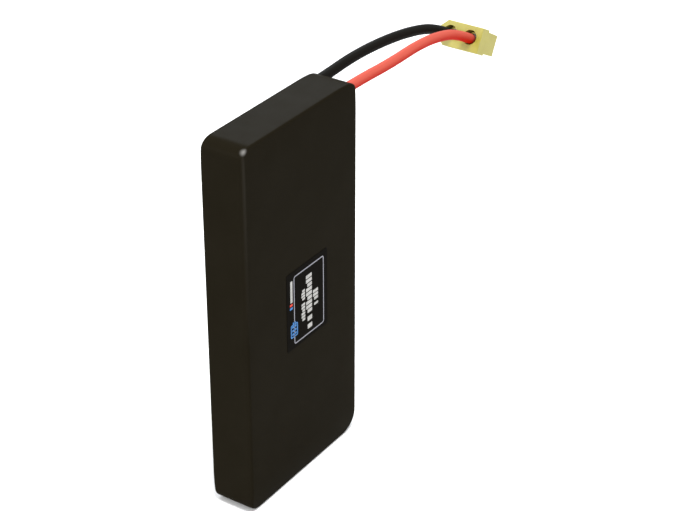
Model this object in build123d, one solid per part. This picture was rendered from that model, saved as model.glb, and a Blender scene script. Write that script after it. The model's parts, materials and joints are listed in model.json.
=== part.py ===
from build123d import *
import os
from math import cos, radians, sin, tan

# A flat two-cell soft battery pack in heat-shrink film, with two leads and a two-pole plug.
# Millimetres. The pack stands on its bottom end: X runs across its width and the leads leave
# at +X, Y runs through its thickness with the label at -Y, and Z is up. The origin is the
# middle of the bottom end.

# Wrapped pack
PACK_WIDTH = 58.2
PACK_THICKNESS = 15.5
PACK_LENGTH = 127.0
CORNER_RADIUS = 4.8
EDGE_RADIUS = 1.1
END_TAPER = 0.6
END_TAPER_LENGTH = 10.0
STAND_FLAT = 0.12
FILM = 0.35

# Label on the front
LABEL_X = (-9.3, 12.4)
LABEL_Z = (49.5, 76.9)
LABEL_THICKNESS = 0.1
LABEL_CORNER = 0.6

# Cells, one each side of the middle plane
CELL_WIDTH = 53.0
CELL_THICKNESS = 6.4
CELL_BOTTOM = 3.6
CELL_HEIGHT = 107.8
CELL_EDGE = 1.8
CELL_END_ROUND = 0.6
POUCH_WALL = 0.2
SPACER_THICKNESS = 0.6
SPACER_WIDTH = 48.0
SPACER_TOP = 106.0
STACK_GAP = 1.0
STACK_CLEARANCE = 0.05
FLANGE_THICKNESS = 0.45
FLANGE_OVERLAP = 0.3
FLANGE_END = 1.0
TERRACE_THICKNESS = 0.5
TERRACE_HEIGHT = 3.8
TERRACE_WIDTH = 50.0
TERRACE_ROOT = 1.0

# Tabs
TAB_WIDTH = 8.0
TAB_THICKNESS = 0.2
TAB_OFFSET = 12.0
TAB_MIDDLE = 5.95
TAB_REACH = 3.8
TAB_FILM = 0.1
TAB_FILM_HEIGHT = 1.2
TAB_FILM_MARGIN = 1.0
TAB_BEND = 0.15

# Board across the top of the cells
BOARD_LENGTH = 48.0
BOARD_WIDTH = 10.8
BOARD_THICKNESS = 0.8
BOARD_BOTTOM = 121.4
BOARD_CORNER = 1.0
BOARD_HOLE = 1.6
BOARD_HOLE_INSET = 2.5
BRIDGE_WIDTH = 6.0
BRIDGE_LENGTH = 9.4
BRIDGE_THICKNESS = 0.2
BRIDGE_CORNER = 0.8
SPOT_OFFSET = 3.4
SPOT_RADII = (1.3, 0.7)
SPOT_HEIGHT = 0.5
MOUND_X = (9.0, 14.6)
MOUND_WIDTH = 2.8
MOUND_RISE = 1.3
MOUND_CORNER = 0.7
MOUND_EDGE = 0.5

# Padding round the cells
PLATE_THICKNESS = 0.48
PLATE_WIDTH = 52.0
PLATE_BOTTOM = 8.0
PLATE_TOP = 110.0
PLATE_CORNER = 3.0
EDGE_FOAM = 1.0
EDGE_FOAM_GAP = 0.05
EDGE_FOAM_LAP = 0.6
EDGE_FOAM_CORNER = 0.8
TAPE_THICKNESS = 0.12
TAPE_GAP = 0.01
TAPE_WIDTH = 12.0
TAPE_CORNER = 1.2
TAPE_BOTTOMS = (22.0, 82.0)
END_FOAM_LENGTH = 45.0
END_FOAM_WIDTH = 11.6
BOARD_FOAM_WIDTH = 11.0
PAD_GAP = 0.15
PAD_CORNER = 1.0
SHEET_THICKNESS = 0.25
SHEET_BOTTOM = 126.1

# Leads
LEAD_DIAMETER = 3.4
CONDUCTOR_DIAMETER = 1.95
LEAD_SPACING = 10.2
LEAD_HEIGHT = 124.2
LEAD_START = 15.5
LAST_RUN = 9.5
CONDUCTOR_START = 9.5
EXIT_CLEARANCE = 0.05
ARC_SHARE = 0.45

# Plug: its rear face's middle, and how far its mating axis points down
PLUG_REAR = (103.3, 0.0, 112.6)
PLUG_DROOP = 28.8
PLUG_WIDTH = 16.0
PLUG_HEIGHT = 8.8
PLUG_BLOCK = 4.9
PLUG_CHAMFER = 2.5
PLUG_EDGE = 0.2
INSERT_LENGTH = 7.2
INSERT_WIDTH = 15.9
INSERT_HEIGHT = 7.5
INSERT_CHAMFER = 2.2
INSERT_TAPER = 1.0
REAR_HOLE = 5.0
FRONT_HOLE = 4.5

# Contacts: their pitch, how far they sit above the plug's middle, and what they are turned to.
# Places along them are measured from the plug's rear face.
CONTACT_PITCH = 7.6
CONTACT_LIFT = 0.4
CUP_START = 3.2
CUP_DIAMETER = 4.4
CUP_BORE = 3.4
CUP_FLOOR = 4.8
COLLAR_LENGTH = 1.0
COLLAR_FIT = 0.1
SOCKET_DIAMETER = 4.4
SOCKET_BORE = 3.5
SOCKET_FLOOR = 5.5
SOCKET_MOUTH = 11.8
MOUTH_CHAMFER = 0.2
JACKET_END = 1.3
CONDUCTOR_END = 4.7
SOLDER_START = 3.5

# Worked out from the sizes above
CELL_INNER = SPACER_THICKNESS / 2
CELL_OUTER = CELL_INNER + CELL_THICKNESS
CELL_TOP = CELL_BOTTOM + CELL_HEIGHT
BOARD_TOP = BOARD_BOTTOM + BOARD_THICKNESS
TAB_TOP = BOARD_TOP + TAB_THICKNESS
PLATE_OUTER = CELL_OUTER + PLATE_THICKNESS
LEAD_Y = LEAD_SPACING / 2
CONTACT_Y = CONTACT_PITCH / 2
FRONT, BACK = -1, 1

# How far a cutting shape runs past what it cuts, and how near counts as the same place
OVERCUT = 1.0
NEAR = 0.01


def block(x, y, z):
    """A box between the two numbers of each pair."""
    middle = Pos(sum(x) / 2, sum(y) / 2, sum(z) / 2)
    return middle * Box(abs(x[1] - x[0]), abs(y[1] - y[0]), abs(z[1] - z[0]))


def on_side(shape, side):
    """A shape drawn on the back half, moved to the front half where side is FRONT."""
    return shape if side == BACK else mirror(shape, about=Plane.XZ)


# Wrap and label


def slab(inset):
    """The pack's outer form, drawn in by inset: round corners, a little thinner at both ends.

    Its lower end is pressed flat by STAND_FLAT, as a soft rim is where the pack stands on it.
    """
    half_width = PACK_WIDTH / 2 - inset
    half_thick = PACK_THICKNESS / 2 - inset
    low, high = inset - STAND_FLAT, PACK_LENGTH - inset
    end_half = half_thick - END_TAPER
    taper_low, taper_high = END_TAPER_LENGTH, PACK_LENGTH - END_TAPER_LENGTH
    outline = RectangleRounded(2 * half_width, high - low, CORNER_RADIUS - inset)
    front_view = Plane.XZ * Pos(0, (low + high) / 2) * outline
    front_form = extrude(front_view, half_thick + OVERCUT, both=True)
    lower_right = TangentArc((half_thick, taper_low), (end_half, low), tangent=(0, -1))
    lower_left = TangentArc((-half_thick, taper_low), (-end_half, low), tangent=(0, -1))
    upper_right = TangentArc((half_thick, taper_high), (end_half, high), tangent=(0, 1))
    upper_left = TangentArc((-half_thick, taper_high), (-end_half, high), tangent=(0, 1))
    sides = [
        Line((-end_half, low), (end_half, low)),
        Line((half_thick, taper_low), (half_thick, taper_high)),
        Line((end_half, high), (-end_half, high)),
        Line((-half_thick, taper_high), (-half_thick, taper_low)),
    ]
    loop = Curve() + [lower_right, lower_left, upper_right, upper_left, *sides]
    side_view = Plane.YZ * make_face(loop)
    side_form = extrude(side_view, half_width + OVERCUT, both=True)
    form = front_form & side_form
    taper_lines = (taper_low, taper_high)
    rim = [
        edge
        for edge in form.edges()
        if abs(edge.center().Y) > NEAR
        and not any(abs(edge.center().Z - z) < NEAR for z in taper_lines)
    ]
    across = (-PACK_WIDTH, PACK_WIDTH)
    pressed_off = block(across, (-PACK_THICKNESS, PACK_THICKNESS), (low - OVERCUT, inset))
    return fillet(rim, EDGE_RADIUS - inset) - pressed_off


def outer_wrap():
    """The shrunk film all round the pack, with a tight hole for each lead."""
    film = slab(0) - slab(FILM)
    for side in (FRONT, BACK):
        at_exit = Pos(PACK_WIDTH / 2, side * LEAD_Y, LEAD_HEIGHT) * Rot(0, 90, 0)
        film -= at_exit * Cylinder(LEAD_DIAMETER / 2 + EXIT_CLEARANCE, CORNER_RADIUS * 2)
    return film


def label():
    """The sticker on the front face."""
    face = -PACK_THICKNESS / 2
    sheet = block(LABEL_X, (face - LABEL_THICKNESS, face), LABEL_Z)
    return fillet(sheet.edges().filter_by(Axis.Y), LABEL_CORNER)


# Cells


def cell_pouch(side):
    """One cell's foil pouch: hollow, with side seams folded up and the top seam left standing."""
    middle = CELL_INNER + CELL_THICKNESS / 2
    base = Pos(0, middle, CELL_BOTTOM)
    outer = extrude(base * RectangleRounded(CELL_WIDTH, CELL_THICKNESS, CELL_EDGE), CELL_HEIGHT)
    ends = outer.edges().group_by(Axis.Z)[0] + outer.edges().group_by(Axis.Z)[-1]
    outer = fillet(ends, CELL_END_ROUND)
    room = Pos(0, 0, POUCH_WALL) * base * RectangleRounded(
        CELL_WIDTH - 2 * POUCH_WALL, CELL_THICKNESS - 2 * POUCH_WALL, CELL_EDGE - POUCH_WALL
    )
    cavity = extrude(room, CELL_HEIGHT - 2 * POUCH_WALL)
    terrace = block(
        (-TERRACE_WIDTH / 2, TERRACE_WIDTH / 2),
        (TAB_MIDDLE - TERRACE_THICKNESS / 2, TAB_MIDDLE + TERRACE_THICKNESS / 2),
        (CELL_TOP - TERRACE_ROOT, CELL_TOP + TERRACE_HEIGHT),
    )
    pouch = outer + terrace
    for x in (-1, 1):
        edge = x * CELL_WIDTH / 2
        pouch += block(
            (edge - x * FLANGE_OVERLAP, edge + x * FLANGE_THICKNESS),
            (CELL_INNER + CELL_EDGE, CELL_OUTER - CELL_EDGE),
            (CELL_BOTTOM + FLANGE_END, CELL_TOP - FLANGE_END),
        )
    pouch -= cavity
    for x in (-TAB_OFFSET, TAB_OFFSET):
        pouch -= tab_strip(x)
    return on_side(pouch, side)


def tab_strip(x):
    """A cell's tab: up out of the pouch, then bent inwards over the board."""
    outer = TAB_MIDDLE + TAB_THICKNESS / 2
    inner = TAB_MIDDLE - TAB_THICKNESS / 2
    bottom = CELL_TOP - STACK_GAP
    tip = outer - TAB_REACH
    outline = make_face(
        Polyline(
            (outer, bottom),
            (outer, TAB_TOP),
            (tip, TAB_TOP),
            (tip, BOARD_TOP),
            (inner, BOARD_TOP),
            (inner, bottom),
            close=True,
        )
    )
    bend = [v for v in outline.vertices() if abs(v.X - outer) < NEAR and v.Y > TAB_TOP - NEAR]
    bent = fillet(bend, TAB_BEND)
    strip = extrude(Plane.YZ * bent, TAB_WIDTH / 2, both=True)
    return Pos(x, 0, 0) * strip


def tab_film(side, x):
    """The plastic film sealed round a tab where it leaves the pouch."""
    low = CELL_TOP + TERRACE_HEIGHT
    half = TAB_WIDTH / 2 + TAB_FILM_MARGIN
    sleeve = block(
        (x - half, x + half),
        (TAB_MIDDLE - TAB_THICKNESS / 2 - TAB_FILM, TAB_MIDDLE + TAB_THICKNESS / 2 + TAB_FILM),
        (low, low + TAB_FILM_HEIGHT),
    )
    return on_side(sleeve - tab_strip(x), side)


def electrode_stack(side):
    """The stacked foils and separators inside a pouch."""
    gap = POUCH_WALL + STACK_CLEARANCE
    middle = CELL_INNER + CELL_THICKNESS / 2
    width, thick = CELL_WIDTH - 2 * gap, CELL_THICKNESS - 2 * gap
    base = Pos(0, middle, CELL_BOTTOM + gap)
    height = CELL_HEIGHT - gap - STACK_GAP
    return on_side(extrude(base * RectangleRounded(width, thick, CELL_EDGE - gap), height), side)


# Padding, plates and tape


def cell_spacer():
    """The double-sided foam pad that holds the cells together."""
    half = SPACER_WIDTH / 2
    return block((-half, half), (-CELL_INNER, CELL_INNER), (PLATE_BOTTOM, SPACER_TOP))


def guard_plate(side):
    """A stiff sheet over a cell's large face."""
    half = PLATE_WIDTH / 2
    sheet = block((-half, half), (CELL_OUTER, PLATE_OUTER), (PLATE_BOTTOM, PLATE_TOP))
    return on_side(fillet(sheet.edges().filter_by(Axis.Y), PLATE_CORNER), side)


def edge_foam(x):
    """A foam strip over the cells' folded seams, at the side that x names."""
    near = x * (CELL_WIDTH / 2 + FLANGE_THICKNESS + EDGE_FOAM_GAP)
    half = CELL_OUTER - CELL_EDGE + EDGE_FOAM_LAP
    strip = block((near, near + x * EDGE_FOAM), (-half, half), (PLATE_BOTTOM, PLATE_TOP))
    return fillet(strip.edges().filter_by(Axis.X), EDGE_FOAM_CORNER)


def tape_band(bottom):
    """A turn of tape round the cells, plates and edge foam."""
    inner_x = CELL_WIDTH / 2 + FLANGE_THICKNESS + EDGE_FOAM_GAP + EDGE_FOAM
    inner_y = PLATE_OUTER + TAPE_GAP
    outer_x, outer_y = inner_x + TAPE_THICKNESS, inner_y + TAPE_THICKNESS
    inside = RectangleRounded(2 * inner_x, 2 * inner_y, TAPE_CORNER)
    outside = RectangleRounded(2 * outer_x, 2 * outer_y, TAPE_CORNER + TAPE_THICKNESS)
    return extrude(Pos(0, 0, bottom) * (outside - inside), TAPE_WIDTH)


def end_foam(low, high, width):
    """A foam block under or over the cells."""
    half_x, half_y = END_FOAM_LENGTH / 2, width / 2
    pad = block((-half_x, half_x), (-half_y, half_y), (low, high))
    return fillet(pad.edges().filter_by(Axis.Y), PAD_CORNER)


# Board and what is soldered to it


def tab_board():
    """The board that the tabs fold over, with a hole at each end that held it for soldering."""
    half_x, half_y = BOARD_LENGTH / 2, BOARD_WIDTH / 2
    board = block((-half_x, half_x), (-half_y, half_y), (BOARD_BOTTOM, BOARD_TOP))
    board = fillet(board.edges().filter_by(Axis.Z), BOARD_CORNER)
    hole = Cylinder(BOARD_HOLE / 2, 2 * BOARD_THICKNESS)
    for x in (-half_x + BOARD_HOLE_INSET, half_x - BOARD_HOLE_INSET):
        board -= Pos(x, 0, (BOARD_BOTTOM + BOARD_TOP) / 2) * hole
    return board


def series_bridge():
    """The nickel strip that joins one cell's tab to the other cell's tab."""
    half = BRIDGE_LENGTH / 2
    strip = block(
        (-TAB_OFFSET - BRIDGE_WIDTH / 2, -TAB_OFFSET + BRIDGE_WIDTH / 2),
        (-half, half),
        (TAB_TOP, TAB_TOP + BRIDGE_THICKNESS),
    )
    return fillet(strip.edges().filter_by(Axis.Z), BRIDGE_CORNER)


def bridge_solder():
    """A flat solder spot at each end of the bridge."""
    middle = TAB_TOP + BRIDGE_THICKNESS + SPOT_HEIGHT / 2
    spots = [
        Pos(-TAB_OFFSET, y, middle) * Cone(*SPOT_RADII, SPOT_HEIGHT)
        for y in (-SPOT_OFFSET, SPOT_OFFSET)
    ]
    return Compound(children=spots)


def pad_solder(side):
    """The solder mound that holds a lead's bare end on its tab."""
    across = (LEAD_Y - MOUND_WIDTH / 2, LEAD_Y + MOUND_WIDTH / 2)
    mound = block(MOUND_X, across, (TAB_TOP, LEAD_HEIGHT + MOUND_RISE))
    mound = fillet(mound.edges().filter_by(Axis.Z), MOUND_CORNER)
    mound = fillet(mound.edges().group_by(Axis.Z)[-1], MOUND_EDGE)
    length = LEAD_START - CONDUCTOR_START
    wire = Pos(CONDUCTOR_START + length / 2, LEAD_Y, LEAD_HEIGHT) * Rot(0, 90, 0)
    mound -= wire * Cylinder(CONDUCTOR_DIAMETER / 2, length)
    return on_side(mound, side)


def top_sheet():
    """The insulating paper between the leads and the wrap."""
    half_x, half_y = END_FOAM_LENGTH / 2, END_FOAM_WIDTH / 2
    top = SHEET_BOTTOM + SHEET_THICKNESS
    sheet = block((-half_x, half_x), (-half_y, half_y), (SHEET_BOTTOM, top))
    return fillet(sheet.edges().filter_by(Axis.Z), PAD_CORNER)


# Leads: each route runs straight out of the wrap, over a gentle rise, and down to the plug


def plug_point(along, across=0.0):
    """The place of a point on a line parallel to the mating axis."""
    droop = radians(PLUG_DROOP)
    x, y, z = PLUG_REAR
    return (x + along * cos(droop), y + across, z - along * sin(droop))


def lead_route(side, start, end):
    """The corners of a lead's centre line, from a start inside the wrap to an end in the plug."""
    middle = {
        BACK: [(29.7, 5.1, 124.2), (46.7, 4.95, 125.2), (66.2, 4.35, 124.1), (83.2, 3.8, 121.25)],
        FRONT: [(32.7, -5.1, 124.2), (51.7, -4.9, 122.9), (70.7, -4.25, 122.55), (84.7, -3.7, 120.2)],
    }[side]
    first = (start, side * LEAD_Y, LEAD_HEIGHT)
    behind_plug = plug_point(-LAST_RUN, side * CONTACT_Y)
    return [first, *middle, behind_plug, plug_point(end, side * CONTACT_Y)]


def bend_radii(route):
    """The largest radius that each corner of a route has room for."""
    points = [Vector(*p) for p in route]
    runs = [b - a for a, b in zip(points, points[1:])]
    return [
        ARC_SHARE * min(a.length, b.length) / tan(radians(a.get_angle(b)) / 2)
        for a, b in zip(runs, runs[1:])
    ]


def round_tube(name, path, outer, inner=0.0):
    """A tube or rod along a path. Its volume is compared with its section times its length."""
    section = Circle(outer / 2)
    if inner:
        section -= Circle(inner / 2)
    tube = sweep(Plane(origin=path @ 0, z_dir=path % 0) * section, path=path)
    expected = section.area * path.length
    print(f"{name}: length {path.length:.1f}, volume {tube.volume:.1f}, expected {expected:.1f}")
    return tube


def lead_parts(side, pole):
    """The jacket and the conductor of one lead."""
    jacket_route = lead_route(side, LEAD_START, JACKET_END)
    radii = bend_radii(jacket_route)
    print(f"{pole}_lead bend radii", [round(r) for r in radii])
    jacket_path = FilletPolyline(*jacket_route, radius=radii)
    wire_path = FilletPolyline(*lead_route(side, CONDUCTOR_START, CONDUCTOR_END), radius=radii)
    return {
        f"{pole}_lead": round_tube(f"{pole}_lead", jacket_path, LEAD_DIAMETER, CONDUCTOR_DIAMETER),
        f"{pole}_conductor": round_tube(f"{pole}_conductor", wire_path, CONDUCTOR_DIAMETER),
    }


# Plug, drawn along +X from its rear face at the origin and then put in its place


def in_place(shape):
    """A plug piece moved from its own axes to where the leads hold it."""
    return Pos(*PLUG_REAR) * Rot(0, PLUG_DROOP, 0) * shape


def plug_section(width, height, chamfer):
    """The plug's cross-section: two corners cut off at the negative pole."""
    half_w, half_h = width / 2, height / 2
    return Plane.YZ * make_face(
        Polyline(
            (-half_w, -half_h),
            (half_w - chamfer, -half_h),
            (half_w, -half_h + chamfer),
            (half_w, half_h - chamfer),
            (half_w - chamfer, half_h),
            (-half_w, half_h),
            close=True,
        )
    )


def rod(diameter, start, end, side, up=CONTACT_LIFT):
    """A round rod from start to end along the axis of one pole's contact."""
    place = Pos((start + end) / 2, side * CONTACT_Y, up) * Rot(0, 90, 0)
    return place * Cylinder(diameter / 2, end - start)


def connector_housing():
    """The moulded plug body: a rear block, and the part that enters the mating plug."""
    rear = extrude(plug_section(PLUG_WIDTH, PLUG_HEIGHT, PLUG_CHAMFER), PLUG_BLOCK)
    rear = fillet(rear.edges(), PLUG_EDGE)
    overlap = 2 * PLUG_EDGE
    front = extrude(
        Pos(PLUG_BLOCK - overlap, 0, 0) * plug_section(INSERT_WIDTH, INSERT_HEIGHT, INSERT_CHAMFER),
        INSERT_LENGTH + overlap,
        taper=INSERT_TAPER,
    )
    front = fillet(front.edges().group_by(Axis.X)[-1], PLUG_EDGE)
    housing = rear + front
    for side in (FRONT, BACK):
        housing -= rod(REAR_HOLE, -OVERCUT, PLUG_BLOCK, side)
        housing -= rod(FRONT_HOLE, PLUG_BLOCK - OVERCUT, PLUG_BLOCK + INSERT_LENGTH + OVERCUT, side)
    return in_place(housing)


def contact_socket(side):
    """A turned contact: a solder cup at the rear and a socket for a round pin at the front."""
    turned = rod(CUP_DIAMETER, CUP_START, PLUG_BLOCK, side)
    turned += rod(SOCKET_DIAMETER, PLUG_BLOCK - COLLAR_LENGTH, SOCKET_MOUTH, side)
    turned += rod(REAR_HOLE - COLLAR_FIT, PLUG_BLOCK - COLLAR_LENGTH, PLUG_BLOCK, side)
    turned -= rod(CUP_BORE, CUP_START - OVERCUT, CUP_FLOOR, side)
    turned -= rod(SOCKET_BORE, SOCKET_FLOOR, SOCKET_MOUTH + OVERCUT, side)
    lead_in = Cone(SOCKET_BORE / 2, SOCKET_BORE / 2 + MOUTH_CHAMFER, MOUTH_CHAMFER)
    mouth = Pos(SOCKET_MOUTH - MOUTH_CHAMFER / 2, side * CONTACT_Y, CONTACT_LIFT)
    turned -= mouth * Rot(0, 90, 0) * lead_in
    return in_place(turned)


def cup_solder(side):
    """The solder that fills a cup round the conductor, which lies a little low in it."""
    fill = rod(CUP_BORE, SOLDER_START, CUP_FLOOR, side)
    wire = rod(CONDUCTOR_DIAMETER, SOLDER_START - OVERCUT, CONDUCTOR_END, side, up=0)
    return in_place(fill - wire)


def pack_parts():
    """Every sub-part by name."""
    parts = {
        "outer_wrap": outer_wrap(),
        "label": label(),
        "cell_spacer": cell_spacer(),
        "front_guard_plate": guard_plate(FRONT),
        "back_guard_plate": guard_plate(BACK),
        "left_edge_foam": edge_foam(-1),
        "right_edge_foam": edge_foam(1),
        "bottom_foam_pad": end_foam(FILM + PAD_GAP, CELL_BOTTOM, END_FOAM_WIDTH),
        "board_support_foam": end_foam(CELL_TOP, BOARD_BOTTOM, BOARD_FOAM_WIDTH),
        "tab_board": tab_board(),
        "series_bridge": series_bridge(),
        "bridge_solder": bridge_solder(),
        "top_insulation_sheet": top_sheet(),
        "connector_housing": connector_housing(),
    }
    for name, bottom in zip(("lower_tape_band", "upper_tape_band"), TAPE_BOTTOMS):
        parts[name] = tape_band(bottom)
    cells = {
        "cell_1": (FRONT, {"positive": TAB_OFFSET, "negative": -TAB_OFFSET}),
        "cell_2": (BACK, {"negative": TAB_OFFSET, "positive": -TAB_OFFSET}),
    }
    for cell, (side, tabs) in cells.items():
        parts[f"{cell}_pouch"] = cell_pouch(side)
        parts[f"{cell}_electrode_stack"] = electrode_stack(side)
        for pole, x in tabs.items():
            parts[f"{cell}_{pole}_tab"] = on_side(tab_strip(x), side)
            parts[f"{cell}_{pole}_tab_film"] = tab_film(side, x)
    for pole, side in (("positive", FRONT), ("negative", BACK)):
        parts.update(lead_parts(side, pole))
        parts[f"{pole}_pad_solder"] = pad_solder(side)
        parts[f"{pole}_socket"] = contact_socket(side)
        parts[f"{pole}_cup_solder"] = cup_solder(side)
    return parts


os.makedirs("parts", exist_ok=True)
for node, shape in pack_parts().items():
    export_step(shape, f"parts/{node}.step")
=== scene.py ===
import json
from math import cos, pi, radians, sin, sqrt

import bmesh
import bpy
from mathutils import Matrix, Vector


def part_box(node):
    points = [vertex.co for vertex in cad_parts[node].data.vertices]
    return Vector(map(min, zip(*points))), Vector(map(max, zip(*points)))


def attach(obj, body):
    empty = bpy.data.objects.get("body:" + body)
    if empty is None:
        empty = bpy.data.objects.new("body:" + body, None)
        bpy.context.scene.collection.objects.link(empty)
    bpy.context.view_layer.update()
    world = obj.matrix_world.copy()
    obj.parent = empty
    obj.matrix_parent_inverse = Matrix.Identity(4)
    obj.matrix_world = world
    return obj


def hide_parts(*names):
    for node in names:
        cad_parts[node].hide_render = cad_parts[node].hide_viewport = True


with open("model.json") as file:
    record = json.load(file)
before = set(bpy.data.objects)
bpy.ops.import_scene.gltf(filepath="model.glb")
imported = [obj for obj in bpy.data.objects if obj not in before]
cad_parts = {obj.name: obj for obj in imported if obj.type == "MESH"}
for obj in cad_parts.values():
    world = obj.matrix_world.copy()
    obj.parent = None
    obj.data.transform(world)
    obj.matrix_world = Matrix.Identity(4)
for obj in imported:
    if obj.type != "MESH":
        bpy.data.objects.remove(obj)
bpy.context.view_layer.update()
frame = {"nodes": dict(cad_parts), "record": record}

# A flat battery pack in black heat-shrink film, standing on its end, with two leads to a plug.
# Metres. X runs across the pack, Y through it with the label at -Y, and Z is up.

MM = 0.001
SCENE = bpy.context.scene

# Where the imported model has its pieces
HALF_WIDTH, HALF_THICK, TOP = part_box("outer_wrap")[1]
LABEL_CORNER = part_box("label")[0]

# Leads, as in the CAD model
LEAD_DIAMETER = 3.4 * MM
LEAD_Y = 5.1 * MM
LEAD_Z = 124.2 * MM
EXIT_X = 28.2 * MM
PLUG_REAR = Vector((103.3, 0, 112.6)) * MM
PLUG_DROOP = radians(28.8)
CONTACT_Y = 3.8 * MM
LAST_RUN = 9.5 * MM
JACKET_END = 1.3 * MM

# The corners of each lead's route as far as the run into the plug, in millimetres
LEAD_CORNERS = {
    "positive": [
        (15.5, -5.1, 124.2), (32.7, -5.1, 124.2), (51.7, -4.9, 122.9), (70.7, -4.25, 122.55),
        (84.7, -3.7, 120.2),
    ],
    "negative": [
        (15.5, 5.1, 124.2), (29.7, 5.1, 124.2), (46.7, 4.95, 125.2), (66.2, 4.35, 124.1),
        (83.2, 3.8, 121.25),
    ],
}

# Film: its rounding, and how softly its faces fall away
FILM_THICKNESS = 0.35 * MM
EDGE_ROUND = 0.8 * MM
WALL_PILLOW = 0.05 * MM
FACE_PILLOW = 0.05 * MM
FACE_PILLOW_REACH = 6.0 * MM
BOTTOM_TAPER = 0.75 * MM
TOP_TAPER = 0.4 * MM
TAPER_LENGTH = 10.0 * MM
HOLE_CLEARANCE = 0.05 * MM
CUTTER_LENGTH = 12 * MM

# Painted highlights on the film: a bright spot on one top corner, and a paler line down each edge
PAINTED_HIGHLIGHT_SPOT_INSET = Vector((0.9, 0.6, 0.1)) * MM
PAINTED_HIGHLIGHT_SPOT_REACH = 2.3 * MM
PAINTED_HIGHLIGHT_LINE_INSET_X = 0.5 * MM
PAINTED_HIGHLIGHT_LINE_INSET_Y = 0.1 * MM
PAINTED_HIGHLIGHT_LINE_REACH = 0.8 * MM
PAINTED_HIGHLIGHT_LINE_LOW = 60 * MM

# How far each corner's round reaches across and up, by its side of the pack and its end
CORNER_ROUNDS = {
    (-1, 1): (4.8 * MM, 3.4 * MM),
    (-1, -1): (5.0 * MM, 3.7 * MM),
    (1, -1): (6.6 * MM, 6.2 * MM),
    (1, 1): (10.0 * MM, 2.1 * MM),
}
CORNER_ZONE = 10.0 * MM

# How finely the film is divided
CORNER_STEPS = 12
WIDTH_STEPS = 18
HEIGHT_STEPS = 44
RIM_STEPS = 5
WALL_STEPS = 4

# Camera
CAMERA_PLACE = Vector((-405.6, -292.8, 366.2)) * MM
CAMERA_AIM = Vector((0.7201, 0.4807, -0.5004))
CAMERA_LENS = 99.35
CAMERA_SENSOR = 36.0
CAMERA_NEAR = 0.01
CAMERA_FAR = 50

FLOOR_HALF = 6.0
SURROUND_STRENGTH = 0.95
LAMP_AIM = Vector((0.03, 0, 0.09))


# ---------------------------------------------------------------- camera and leads


def make_camera():
    """The camera, level, looking down on the pack's label side and its left narrow side."""
    data = bpy.data.cameras.new("camera")
    data.lens = CAMERA_LENS
    data.sensor_width = CAMERA_SENSOR
    data.clip_start = CAMERA_NEAR
    data.clip_end = CAMERA_FAR
    camera = bpy.data.objects.new("camera", data)
    camera.location = CAMERA_PLACE
    camera.rotation_euler = CAMERA_AIM.to_track_quat("-Z", "Y").to_euler()
    SCENE.collection.objects.link(camera)
    SCENE.camera = camera


def plug_point(along, across):
    """A point on a line parallel to the plug's mating axis, from the middle of its rear face."""
    axis = Vector((cos(PLUG_DROOP), 0, -sin(PLUG_DROOP)))
    return PLUG_REAR + axis * along + Vector((0, across, 0))


def lead_jacket(pole, side, material):
    """A lead's silicone jacket, on a smooth curve from inside the film to inside the plug."""
    route = [Vector(corner) * MM for corner in LEAD_CORNERS[pole]]
    route.append(plug_point(-LAST_RUN, side * CONTACT_Y))
    route.append(plug_point(JACKET_END, side * CONTACT_Y))
    curve = bpy.data.curves.new(f"{pole}_lead_jacket", "CURVE")
    curve.dimensions = "3D"
    curve.bevel_depth = LEAD_DIAMETER / 2
    curve.bevel_resolution = 10
    curve.use_fill_caps = True
    spline = curve.splines.new("NURBS")
    spline.points.add(len(route) - 1)
    for point, place in zip(spline.points, route):
        point.co = (*place, 1)
    spline.order_u = 3
    spline.use_endpoint_u = True
    spline.resolution_u = 16
    spline.use_smooth = True
    curve.materials.append(material)
    jacket = bpy.data.objects.new(f"{pole}_lead_jacket", curve)
    SCENE.collection.objects.link(jacket)
    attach(jacket, "root")
    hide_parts(f"{pole}_lead")


# ---------------------------------------------------------------- materials


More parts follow.
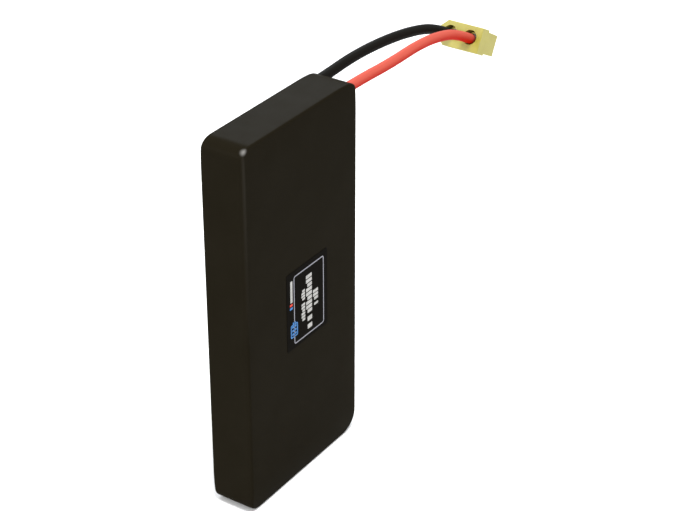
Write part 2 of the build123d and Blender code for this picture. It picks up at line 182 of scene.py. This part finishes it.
class Surface:
    """A material being built: its node tree, its shader and a few ways to add to them."""

    def __init__(self, name, roughness=0.5, metallic=0.0, specular=0.5):
        self.material = bpy.data.materials.new(name)
        self.material.use_nodes = True
        self.tree = self.material.node_tree
        self.shader = self.tree.nodes["Principled BSDF"]
        self.shader.inputs["Roughness"].default_value = roughness
        self.shader.inputs["Metallic"].default_value = metallic
        self.shader.inputs["Specular IOR Level"].default_value = specular
        coordinates = self.add("ShaderNodeTexCoord")
        self.place = coordinates.outputs["Object"]
        self.outward = coordinates.outputs["Normal"]
        self.normal = None

    def add(self, kind):
        """A new node of a kind."""
        return self.tree.nodes.new(kind)

    def link(self, source, target):
        """Joins a node's output to another's input."""
        self.tree.links.new(source, target)

    def stretched(self, stretch):
        """The surface's coordinates, closer together along an axis whose stretch is large."""
        mapping = self.add("ShaderNodeMapping")
        mapping.inputs["Scale"].default_value = stretch
        self.link(self.place, mapping.inputs["Vector"])
        return mapping.outputs["Vector"]

    def noise(self, size, detail=3.0, rough=0.5, stretch=None):
        """A noise whose blobs are about size metres across, from 0 to 1."""
        node = self.add("ShaderNodeTexNoise")
        node.inputs["Scale"].default_value = 1 / size
        node.inputs["Detail"].default_value = detail
        node.inputs["Roughness"].default_value = rough
        self.link(self.stretched(stretch) if stretch else self.place, node.inputs["Vector"])
        return node.outputs["Fac"]

    def spread(self, value, low, high, start=0.3, end=0.7):
        """A value remapped from start..end to low..high."""
        node = self.add("ShaderNodeMapRange")
        node.inputs["From Min"].default_value = start
        node.inputs["From Max"].default_value = end
        node.inputs["To Min"].default_value = low
        node.inputs["To Max"].default_value = high
        self.link(value, node.inputs["Value"])
        return node.outputs["Result"]

    def colours(self, value, stops):
        """A colour that follows value through the stops, each a place from 0 to 1 and a colour."""
        node = self.add("ShaderNodeValToRGB")
        ramp = node.color_ramp
        ramp.elements[0].position, ramp.elements[-1].position = stops[0][0], stops[-1][0]
        for place, _ in stops[1:-1]:
            ramp.elements.new(place)
        for element, (_, colour) in zip(ramp.elements, stops):
            element.color = (*colour, 1)
        self.link(value, node.inputs["Fac"])
        self.colour = node.outputs["Color"]
        self.link(self.colour, self.shader.inputs["Base Color"])

    def cover(self, share, colour):
        """Lays a second colour over the first, by a share from 0 to 1."""
        node = self.add("ShaderNodeMix")
        node.data_type = "RGBA"
        factor, first, second = node.inputs[0], node.inputs[6], node.inputs[7]
        second.default_value = (*colour, 1)
        self.link(share, factor)
        self.link(self.colour, first)
        self.colour = node.outputs[2]
        self.link(self.colour, self.shader.inputs["Base Color"])

    def height(self, direction):
        """The upward part of a direction or a place."""
        node = self.add("ShaderNodeSeparateXYZ")
        self.link(direction, node.inputs["Vector"])
        return node.outputs["Z"]

    def times(self, first, second):
        """The product of two values."""
        node = self.add("ShaderNodeMath")
        node.operation = "MULTIPLY"
        self.link(first, node.inputs[0])
        self.link(second, node.inputs[1])
        return node.outputs["Value"]

    def vector(self, operation, value, second=None):
        """A sum on vectors: its result is a number for a distance, and a vector otherwise."""
        node = self.add("ShaderNodeVectorMath")
        node.operation = operation
        self.link(value, node.inputs[0])
        if second is not None:
            node.inputs[1].default_value = second
        return node.outputs["Value" if operation == "DISTANCE" else "Vector"]

    def roughness(self, value):
        """Lets a value set the roughness."""
        self.link(value, self.shader.inputs["Roughness"])

    def bump(self, value, height, strength=1.0):
        """Raises the surface by value times height, over what earlier bumps did."""
        node = self.add("ShaderNodeBump")
        node.inputs["Distance"].default_value = height
        node.inputs["Strength"].default_value = strength
        self.link(value, node.inputs["Height"])
        if self.normal is not None:
            self.link(self.normal, node.inputs["Normal"])
        self.normal = node.outputs["Normal"]
        self.link(self.normal, self.shader.inputs["Normal"])


def film_material():
    """Black heat-shrink film: warm, satin, with a painted highlight on a top corner and painted
    highlight lines down its edges.
    """
    film = Surface("wrap_film", specular=0.004)
    drift = film.noise(14 * MM, detail=2)
    film.colours(drift, [(0.3, (0.0092, 0.0075, 0.0043)), (0.7, (0.0103, 0.0085, 0.0051))])
    smears = film.noise(5 * MM, detail=4, rough=0.6, stretch=(1, 1, 0.35))
    film.roughness(film.spread(smears, 0.29, 0.35))
    # Painted highlight: a paler line down each upright edge, brightest at the top and fading out
    # lower down
    folded = film.vector("ABSOLUTE", film.place)
    flat = film.vector("MULTIPLY", folded, (1, 1, 0))
    edge = (HALF_WIDTH - PAINTED_HIGHLIGHT_LINE_INSET_X, HALF_THICK - PAINTED_HIGHLIGHT_LINE_INSET_Y, 0)
    line = film.spread(film.vector("DISTANCE", flat, edge), 1, 0, start=0, end=PAINTED_HIGHLIGHT_LINE_REACH)
    fade = film.spread(film.height(film.place), 0, 1, start=PAINTED_HIGHLIGHT_LINE_LOW, end=TOP)
    film.cover(film.times(line, fade), (0.022, 0.0195, 0.015))
    # Painted highlight: a near-white spot on the top corner at -X on the label side
    corner = Vector((-HALF_WIDTH, -HALF_THICK, TOP)) + PAINTED_HIGHLIGHT_SPOT_INSET
    spot = film.vector("DISTANCE", film.place, corner)
    middle = film.spread(spot, 1, 0, start=0, end=PAINTED_HIGHLIGHT_SPOT_REACH)
    film.cover(film.times(middle, middle), (0.85, 0.83, 0.80))
    film.bump(film.noise(11 * MM, detail=1), 0.05 * MM)
    film.bump(film.noise(0.5 * MM, detail=2), 0.0012 * MM)
    return film.material


def label_material():
    """The sticker's black sheet, a shade darker and duller than the film."""
    sheet = Surface("label_print", specular=0.006)
    grain = sheet.noise(0.3 * MM, detail=2)
    sheet.colours(grain, [(0.3, (0.0030, 0.0024, 0.0016)), (0.7, (0.0042, 0.0035, 0.0024))])
    sheet.roughness(sheet.spread(grain, 0.36, 0.46))
    sheet.bump(grain, 0.001 * MM)
    return sheet.material


def ink_material(name, dark, light):
    """Printing ink: slightly uneven cover over a fine grain."""
    ink = Surface(name, specular=0.1)
    cover = ink.noise(0.35 * MM, detail=3)
    ink.colours(cover, [(0.3, dark), (0.65, light)])
    ink.roughness(ink.spread(cover, 0.5, 0.4))
    ink.bump(cover, 0.001 * MM)
    return ink.material


def silicone_material(name, dark, light, painted_top_sheen):
    """A silicone jacket: soft sheen, a painted sheen that pales its upper side, a fine skin from
    the extruder.
    """
    skin = Surface(name, specular=0.02)
    drift = skin.noise(4 * MM, detail=3)
    skin.colours(drift, [(0.3, dark), (0.7, light)])
    # Painted sheen: the colour pales towards the upper side, where the light falls
    skin.cover(skin.spread(skin.height(skin.outward), 0, 1, start=-0.5, end=0.6), painted_top_sheen)
    dust = skin.noise(0.7 * MM, detail=4, rough=0.65)
    skin.roughness(skin.spread(dust, 0.48, 0.58))
    skin.bump(skin.noise(0.35 * MM, detail=2, stretch=(0.25, 1, 1)), 0.004 * MM)
    return skin.material


def plug_material():
    """Moulded yellow nylon: slightly cloudy, with a fine spark-eroded grain."""
    nylon = Surface("plug_moulding", specular=0.7)
    cloud = nylon.noise(3 * MM, detail=3)
    nylon.colours(
        cloud,
        [(0.3, (0.31, 0.27, 0.026)), (0.5, (0.325, 0.285, 0.030)), (0.7, (0.34, 0.30, 0.036))],
    )
    grain = nylon.noise(0.12 * MM, detail=2)
    nylon.roughness(nylon.spread(grain, 0.42, 0.50))
    nylon.bump(grain, 0.004 * MM)
    nylon.bump(nylon.noise(2.5 * MM, detail=1), 0.03 * MM)
    return nylon.material


def turned_metal(name, dark, light, low, high, mark=0.12 * MM, metallic=1.0):
    """A metal with tool marks of a size, a little tarnish, and a roughness from low to high."""
    metal = Surface(name, metallic=metallic)
    tarnish = metal.noise(1.2 * MM, detail=4)
    metal.colours(tarnish, [(0.3, dark), (0.7, light)])
    marks = metal.noise(mark, detail=2, stretch=(3, 0.6, 0.6))
    metal.roughness(metal.spread(marks, low, high))
    metal.bump(marks, 0.003 * MM)
    return metal.material


def drawn_wire(name, dark, light):
    """Fine strands, seen as lines along the conductor."""
    wire = Surface(name, metallic=1.0)
    strands = wire.noise(0.16 * MM, detail=1, stretch=(0.08, 1, 1))
    wire.colours(strands, [(0.35, dark), (0.6, light)])
    wire.roughness(wire.spread(strands, 0.45, 0.28))
    wire.bump(strands, 0.05 * MM)
    return wire.material


def crinkled_foil(name, dark, light):
    """Laminated pouch foil: bright and dull patches over a slight crinkle."""
    foil = Surface(name, metallic=0.9)
    patches = foil.noise(9 * MM, detail=4, rough=0.55)
    foil.colours(patches, [(0.3, dark), (0.7, light)])
    foil.roughness(foil.spread(patches, 0.30, 0.46))
    foil.bump(foil.noise(3 * MM, detail=3, stretch=(1, 1, 0.5)), 0.10 * MM)
    return foil.material


def layered_stack(name, dark, light):
    """Electrode foils on edge: thin layers through the thickness."""
    stack = Surface(name, specular=0.3)
    layers = stack.noise(0.14 * MM, detail=1, stretch=(0.02, 1, 0.02))
    stack.colours(layers, [(0.35, dark), (0.65, light)])
    stack.roughness(stack.spread(layers, 0.75, 0.6))
    stack.bump(layers, 0.04 * MM)
    return stack.material


def cell_foam(name, dark, light):
    """Closed-cell foam."""
    foam = Surface(name, roughness=0.9, specular=0.2)
    cells = foam.add("ShaderNodeTexVoronoi")
    cells.inputs["Scale"].default_value = 1 / (0.5 * MM)
    foam.link(foam.place, cells.inputs["Vector"])
    foam.colours(cells.outputs["Distance"], [(0.1, dark), (0.6, light)])
    foam.bump(cells.outputs["Distance"], 0.12 * MM)
    return foam.material


def weave(name, dark, light, size, low, high, height):
    """Woven glass cloth or fibre under a coat: two crossing sets of threads.

    The roughness goes from low in the gaps to high on the threads.
    """
    cloth = Surface(name, specular=0.4)
    across = cloth.noise(size, detail=2, stretch=(0.12, 1, 1))
    along = cloth.noise(size, detail=2, stretch=(1, 0.12, 0.12))
    both = cloth.add("ShaderNodeMath")
    both.operation = "MULTIPLY_ADD"
    both.inputs[1].default_value = 0.5
    half = cloth.spread(along, 0, 0.5, start=0, end=1)
    cloth.link(across, both.inputs[0])
    cloth.link(half, both.inputs[2])
    threads = both.outputs["Value"]
    cloth.colours(threads, [(0.38, dark), (0.62, light)])
    cloth.roughness(cloth.spread(threads, low, high))
    cloth.bump(threads, height)
    return cloth.material


def film_tape(name, dark, light):
    """Polyimide tape: clear amber with faint stretch lines round the pack."""
    tape = Surface(name, specular=0.5)
    lines = tape.noise(0.8 * MM, detail=3, stretch=(0.05, 0.05, 1))
    tape.colours(lines, [(0.35, dark), (0.65, light)])
    tape.roughness(tape.spread(lines, 0.18, 0.3))
    tape.bump(lines, 0.01 * MM)
    return tape.material


SLOT_MATERIALS = {
    "wrap_film": film_material(),
    "label_print": label_material(),
    "red_silicone": silicone_material(
        "red_silicone",
        dark=(0.38, 0.006, 0.001), light=(0.42, 0.009, 0.002), painted_top_sheen=(0.445, 0.077, 0.054),
    ),
    "black_silicone": silicone_material(
        "black_silicone",
        dark=(0.004, 0.0036, 0.003), light=(0.006, 0.0055, 0.0045), painted_top_sheen=(0.0075, 0.007, 0.006),
    ),
    "plug_moulding": plug_material(),
    "gold_contact": turned_metal(
        "gold_contact", (0.70, 0.56, 0.12), (0.85, 0.70, 0.20), low=0.38, high=0.52, metallic=0.6
    ),
    "solder": turned_metal(
        "solder", (0.20, 0.20, 0.19), (0.32, 0.32, 0.31), low=0.5, high=0.65, mark=0.5 * MM
    ),
    "nickel": turned_metal(
        "nickel", (0.50, 0.48, 0.44), (0.64, 0.62, 0.57), low=0.3, high=0.42, mark=0.3 * MM
    ),
    "aluminium_tab": turned_metal(
        "aluminium_tab", (0.66, 0.67, 0.69), (0.80, 0.80, 0.82), low=0.3, high=0.45, mark=0.3 * MM
    ),
    "tinned_copper": drawn_wire("tinned_copper", (0.45, 0.26, 0.17), (0.80, 0.60, 0.46)),
    "pouch_foil": crinkled_foil("pouch_foil", (0.55, 0.56, 0.58), (0.76, 0.77, 0.80)),
    "electrode_foil": layered_stack("electrode_foil", (0.018, 0.018, 0.02), (0.10, 0.085, 0.07)),
    "foam": cell_foam("foam", (0.010, 0.010, 0.010), (0.035, 0.035, 0.036)),
    "guard_sheet": weave(
        "guard_sheet", (0.50, 0.48, 0.34), (0.66, 0.64, 0.50),
        size=0.6 * MM, low=0.5, high=0.36, height=0.02 * MM,
    ),
    "board_laminate": weave(
        "board_laminate", (0.010, 0.075, 0.028), (0.018, 0.12, 0.045),
        size=0.5 * MM, low=0.42, high=0.28, height=0.01 * MM,
    ),
    "insulating_paper": weave(
        "insulating_paper", (0.36, 0.30, 0.17), (0.50, 0.43, 0.27),
        size=0.35 * MM, low=0.85, high=0.7, height=0.02 * MM,
    ),
    "amber_tape": film_tape("amber_tape", (0.38, 0.15, 0.015), (0.55, 0.24, 0.03)),
    "tab_seal_film": film_tape("tab_seal_film", (0.60, 0.60, 0.56), (0.76, 0.76, 0.72)),
}


def dress_cad_nodes():
    """Gives every CAD node the material of its slot in the record."""
    for part in frame["record"]["subparts"]:
        node = frame["nodes"][part["node"]]
        node.data.materials.clear()
        node.data.materials.append(SLOT_MATERIALS[part["material_slot"]])


# ---------------------------------------------------------------- film


def film_half_thickness(x, z):
    """How far the film's face is from the middle plane: less at both ends and near the sides."""
    taper = max(0, 1 - z / TAPER_LENGTH) ** 2 * BOTTOM_TAPER
    taper += max(0, 1 - (TOP - z) / TAPER_LENGTH) ** 2 * TOP_TAPER
    to_side = HALF_WIDTH - abs(x)
    pillow = max(0, 1 - to_side / FACE_PILLOW_REACH) ** 2 * FACE_PILLOW
    return HALF_THICK - taper - pillow


def stations(low, high, steps):
    """Places from low to high, evenly spaced in each corner zone and, by steps, between them."""
    first = [low + CORNER_ZONE * i / CORNER_STEPS for i in range(CORNER_STEPS)]
    length = high - low - 2 * CORNER_ZONE
    middle = [low + CORNER_ZONE + length * i / steps for i in range(steps)]
    last = [high - CORNER_ZONE + CORNER_ZONE * i / CORNER_STEPS for i in range(CORNER_STEPS + 1)]
    return first + middle + last


def rounded(x, z, half_x, low_z, high_z):
    """Moves a point of a rectangle into one with round corners, and gives its outward way."""
    side_x = 1 if x > 0 else -1
    side_z = 1 if z > TOP / 2 else -1
    round_x, round_z = (reach - EDGE_ROUND for reach in CORNER_ROUNDS[side_x, side_z])
    centre_x = side_x * (half_x - round_x)
    centre_z = high_z - round_z if side_z > 0 else low_z + round_z
    u = max(0, (x - centre_x) * side_x / round_x)
    v = max(0, (z - centre_z) * side_z / round_z)
    if u > 0 and v > 0:
        u, v = u * sqrt(1 - v * v / 2), v * sqrt(1 - u * u / 2)
        x = centre_x + side_x * round_x * u
        z = centre_z + side_z * round_z * v
    way = Vector((side_x * u * round_z, 0, side_z * v * round_x))
    return x, z, way.normalized() if way.length else way


def film_rings():
    """Each ring of the film's rim and side, from front to back.

    A ring is its inset, its share of the film's half thickness and its step from there.
    """
    front = []
    for i in range(1, RIM_STEPS + 1):
        turn = pi / 2 * i / RIM_STEPS
        inset = EDGE_ROUND - (EDGE_ROUND - WALL_PILLOW) * sin(turn)
        front.append((inset, 1.0, EDGE_ROUND * (1 - cos(turn))))
    for i in range(1, WALL_STEPS):
        share = 1 - i / WALL_STEPS
        front.append((WALL_PILLOW * share**2, share, EDGE_ROUND * share))
    middle = [(0.0, 0.0, 0.0)]
    rings = [(inset, -share, fall) for inset, share, fall in front]
    return rings + middle + [(inset, share, -fall) for inset, share, fall in reversed(front)]


def film_skin():
    """The film's outer surface: a front, a back, and rings round the rim that join them."""
    half_x = HALF_WIDTH - EDGE_ROUND
    low_z, high_z = EDGE_ROUND, TOP - EDGE_ROUND
    xs = stations(-half_x, half_x, WIDTH_STEPS)
    zs = stations(low_z, high_z, HEIGHT_STEPS)
    mesh = bmesh.new()
    faces = {}
    border = {}
    for side in (-1, 1):
        for i, flat_x in enumerate(xs):
            for j, flat_z in enumerate(zs):
                x, z, way = rounded(flat_x, flat_z, half_x, low_z, high_z)
                y = side * film_half_thickness(x, z)
                faces[side, i, j] = mesh.verts.new((x, y, z))
                border[i, j] = (x, z, way)
        for i in range(len(xs) - 1):
            for j in range(len(zs) - 1):
                corners = [faces[side, i, j], faces[side, i + 1, j]]
                corners += [faces[side, i + 1, j + 1], faces[side, i, j + 1]]
                mesh.faces.new(corners if side < 0 else corners[::-1])
    last_i, last_j = len(xs) - 1, len(zs) - 1
    loop = [(i, 0) for i in range(last_i)] + [(last_i, j) for j in range(last_j)]
    loop += [(i, last_j) for i in range(last_i, 0, -1)] + [(0, j) for j in range(last_j, 0, -1)]
    previous = [faces[-1, i, j] for i, j in loop]
    rings = []
    for inset, share, fall in film_rings():
        ring = []
        for i, j in loop:
            x, z, way = border[i, j]
            half = film_half_thickness(x, z)
            out = way * (EDGE_ROUND - inset)
            ring.append(mesh.verts.new((x + out.x, share * half + fall, z + out.z)))
        rings.append(ring)
    rings.append([faces[1, i, j] for i, j in loop])
    for ring in rings:
        for a in range(len(loop)):
            b = (a + 1) % len(loop)
            mesh.faces.new([previous[b], previous[a], ring[a], ring[b]])
        previous = ring
    bmesh.ops.recalc_face_normals(mesh, faces=mesh.faces)
    return mesh


def new_object(name, mesh, material):
    """An object from a bmesh, smooth, with one material."""
    data = bpy.data.meshes.new(name)
    mesh.to_mesh(data)
    mesh.free()
    for face in data.polygons:
        face.use_smooth = True
    data.materials.append(material)
    made = bpy.data.objects.new(name, data)
    SCENE.collection.objects.link(made)
    return made


def bake_modifiers(made):
    """Turns an object's modifiers into its mesh."""
    graph = bpy.context.evaluated_depsgraph_get()
    data = bpy.data.meshes.new_from_object(made.evaluated_get(graph))
    made.modifiers.clear()
    made.data = data


def hole_cutter(side):
    """A rod where a lead passes through the film."""
    radius = LEAD_DIAMETER / 2 + HOLE_CLEARANCE
    mesh = bmesh.new()
    bmesh.ops.create_cone(
        mesh, cap_ends=True, segments=48, radius1=radius, radius2=radius, depth=CUTTER_LENGTH
    )
    made = new_object(f"cutter{side}", mesh, SLOT_MATERIALS["wrap_film"])
    made.rotation_euler = (0, pi / 2, 0)
    made.location = (EXIT_X, side * LEAD_Y, LEAD_Z)
    return made


def make_film():
    """The shrunk film: a thin closed shell with a tight hole for each lead."""
    film = new_object("shrink_film", film_skin(), SLOT_MATERIALS["wrap_film"])
    smooth = film.modifiers.new("smooth", "SUBSURF")
    smooth.levels = smooth.render_levels = 1
    shell = film.modifiers.new("shell", "SOLIDIFY")
    shell.thickness = FILM_THICKNESS
    shell.offset = -1
    bake_modifiers(film)
    cutters = [hole_cutter(side) for side in (-1, 1)]
    for cutter in cutters:
        cut = film.modifiers.new("hole", "BOOLEAN")
        cut.object = cutter
        cut.solver = "EXACT"
    bpy.context.view_layer.update()
    bake_modifiers(film)
    for cutter in cutters:
        bpy.data.objects.remove(cutter)
    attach(film, "root")
    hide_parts("outer_wrap")


# ---------------------------------------------------------------- label print

# Places on the label are millimetres across and up from its lower left corner
PRINT_HEIGHT = 0.012 * MM
FRAME_X = (3.7, 19.8)
FRAME_Z = (1.3, 25.5)
FRAME_LINE = 0.37
FRAME_CORNER = 0.9
STRIP_X = (1.6, 3.0)
STRIP_BLUE_Z = (14.5, 15.3)
STRIP_RED_Z = (15.7, 16.5)
PLATE_CORNER = 0.2
SIGN_X = (1.9, 5.6)
SIGN_Z = (4.1, 8.8)
SIGN_CORNER = 0.5
SIGN_LINE = 0.4
SIGN_CAP_X = (3.0, 4.5)
SIGN_CAP_Z = (8.8, 9.5)
SIGN_BAR_X = (2.65, 4.85)
SIGN_BAR_LOWS = (4.9, 6.2, 7.5)
SIGN_BAR_HEIGHT = 0.75
WORD_BLOCK_SHARE = 0.78
WORD_BLOCK_SHORTER = 0.22
WORD_BLOCK_CORNER = 0.16

# Rows of blocks: where each is across the label, then where each word is and its count of blocks
WORD_ROWS = [
    ((7.7, 9.6), [((7.4, 13.9), 6), ((14.8, 18.7), 4)]),
    ((10.2, 13.3), [((3.2, 5.3), 1), ((6.0, 8.1), 1), ((8.9, 22.9), 9)]),
    ((13.9, 16.6), [((10.0, 11.1), 1), ((11.9, 15.9), 3)]),
    (STRIP_X, [((16.9, 26.6), 1)]),
]


def rounded_outline(x, z, corner, steps=5):
    """The corners of a rectangle with round corners, in millimetres."""
    points = []
    centres = [
        (x[1] - corner, z[1] - corner, 0), (x[0] + corner, z[1] - corner, pi / 2),
        (x[0] + corner, z[0] + corner, pi), (x[1] - corner, z[0] + corner, 3 * pi / 2),
    ]
    for centre_x, centre_z, start in centres:
        for i in range(steps + 1):
            turn = start + pi / 2 * i / steps
            points.append((centre_x + corner * cos(turn), centre_z + corner * sin(turn)))
    return points


def raise_face(mesh, face):
    """Thickens a face of ink into a thin plate that starts on the label."""
    made = bmesh.ops.extrude_face_region(mesh, geom=[face])["geom"]
    for vert in made:
        if isinstance(vert, bmesh.types.BMVert):
            vert.co.y -= PRINT_HEIGHT


def on_label(mesh, outline):
    """The vertices of an outline on the label's face."""
    return [mesh.verts.new(LABEL_CORNER + Vector((x, 0, z)) * MM) for x, z in outline]


def print_plate(mesh, x, z, corner=PLATE_CORNER):
    """One solid rectangle of ink with round corners."""
    outline = rounded_outline(x, z, corner, steps=3)
    raise_face(mesh, mesh.faces.new(on_label(mesh, outline)))


def print_line_frame(mesh, x, z, corner, line):
    """A rounded frame drawn as a line."""
    outer = rounded_outline(x, z, corner)
    inner = rounded_outline(
        (x[0] + line, x[1] - line), (z[0] + line, z[1] - line), max(corner - line, 0.05)
    )
    rings = [on_label(mesh, outline) for outline in (outer, inner)]
    count = len(outer)
    for a in range(count):
        b = (a + 1) % count
        raise_face(mesh, mesh.faces.new([rings[0][a], rings[0][b], rings[1][b], rings[1][a]]))


def print_blocks(mesh, x, z, count):
    """A row of plain blocks that stands where the label has a word, every third one shorter."""
    pitch = (z[1] - z[0]) / count
    for i in range(count):
        low = z[0] + i * pitch
        inset = 0.0 if i % 3 else WORD_BLOCK_SHORTER * (x[1] - x[0])
        high = low + pitch * WORD_BLOCK_SHARE
        print_plate(mesh, (x[0] + inset, x[1]), (low, high), WORD_BLOCK_CORNER)


def finish_print(name, mesh, material):
    """Puts a piece of printing on the label."""
    bmesh.ops.remove_doubles(mesh, verts=mesh.verts, dist=0.001 * MM)
    bmesh.ops.recalc_face_normals(mesh, faces=mesh.faces)
    made = new_object(name, mesh, material)
    for face in made.data.polygons:
        face.use_smooth = False
    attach(made, "root")


def make_label_print():
    """The label's printing: a frame, rows of plain blocks, a strip and a small battery sign."""
    grey = ink_material("label_grey_ink", (0.22, 0.22, 0.25), (0.30, 0.30, 0.34))
    white = ink_material("label_white_ink", (0.30, 0.295, 0.28), (0.46, 0.455, 0.44))
    blue = ink_material("label_blue_ink", (0.04, 0.16, 0.42), (0.06, 0.22, 0.52))
    red = ink_material("label_red_ink", (0.55, 0.035, 0.02), (0.68, 0.05, 0.03))

    mesh = bmesh.new()
    print_line_frame(mesh, FRAME_X, FRAME_Z, FRAME_CORNER, FRAME_LINE)
    finish_print("label_frame_line", mesh, grey)

    mesh = bmesh.new()
    for x, words in WORD_ROWS:
        for z, count in words:
            print_blocks(mesh, x, z, count)
    finish_print("label_white_blocks", mesh, white)

    mesh = bmesh.new()
    print_plate(mesh, STRIP_X, STRIP_RED_Z)
    finish_print("label_red_block", mesh, red)

    mesh = bmesh.new()
    print_plate(mesh, STRIP_X, STRIP_BLUE_Z)
    print_line_frame(mesh, SIGN_X, SIGN_Z, SIGN_CORNER, SIGN_LINE)
    print_plate(mesh, SIGN_CAP_X, SIGN_CAP_Z)
    for low in SIGN_BAR_LOWS:
        print_plate(mesh, SIGN_BAR_X, (low, low + SIGN_BAR_HEIGHT))
    finish_print("label_battery_sign", mesh, blue)


# ---------------------------------------------------------------- stage


def make_world():
    """An even, pale surround."""
    world = bpy.data.worlds.new("surround")
    world.use_nodes = True
    shade = world.node_tree.nodes["Background"]
    shade.inputs["Color"].default_value = (1, 1, 1, 1)
    shade.inputs["Strength"].default_value = SURROUND_STRENGTH
    SCENE.world = world


def make_floor():
    """A plain pale floor under the pack's bottom end."""
    mesh = bmesh.new()
    bmesh.ops.create_grid(mesh, x_segments=4, y_segments=4, size=FLOOR_HALF)
    surface = Surface("floor_paper", specular=0.1)
    grain = surface.noise(60 * MM, detail=2)
    surface.colours(grain, [(0.3, (0.87, 0.87, 0.87)), (0.7, (0.885, 0.885, 0.885))])
    surface.roughness(surface.spread(grain, 0.85, 0.9))
    floor = new_object("floor", mesh, surface.material)


def soft_box(name, place, size, power, colour=(1, 1, 1)):
    """A square lamp at place, pointed at the pack."""
    data = bpy.data.lights.new(name, "AREA")
    data.shape = "SQUARE"
    data.size = size
    data.energy = power
    data.color = colour
    lamp = bpy.data.objects.new(name, data)
    lamp.location = place
    lamp.rotation_euler = (LAMP_AIM - Vector(place)).to_track_quat("-Z", "Y").to_euler()
    SCENE.collection.objects.link(lamp)


def make_lights():
    """A main lamp overhead, one behind that the top face mirrors, and one for the plug's rear."""
    soft_box("top_lamp", (-0.15, -0.25, 1.25), size=0.35, power=14)
    soft_box("back_panel", (1.08, 0.72, 0.88), size=0.60, power=8.6, colour=(0.84, 0.92, 1.0))
    soft_box("plug_panel", (-0.79, 0.53, 0.49), size=0.50, power=5.0)


# ---------------------------------------------------------------- the whole

make_camera()
lead_jacket("positive", -1, SLOT_MATERIALS["red_silicone"])
lead_jacket("negative", 1, SLOT_MATERIALS["black_silicone"])
dress_cad_nodes()
make_film()
make_label_print()
make_world()
make_floor()
make_lights()
SCENE.view_settings.view_transform = "Standard"
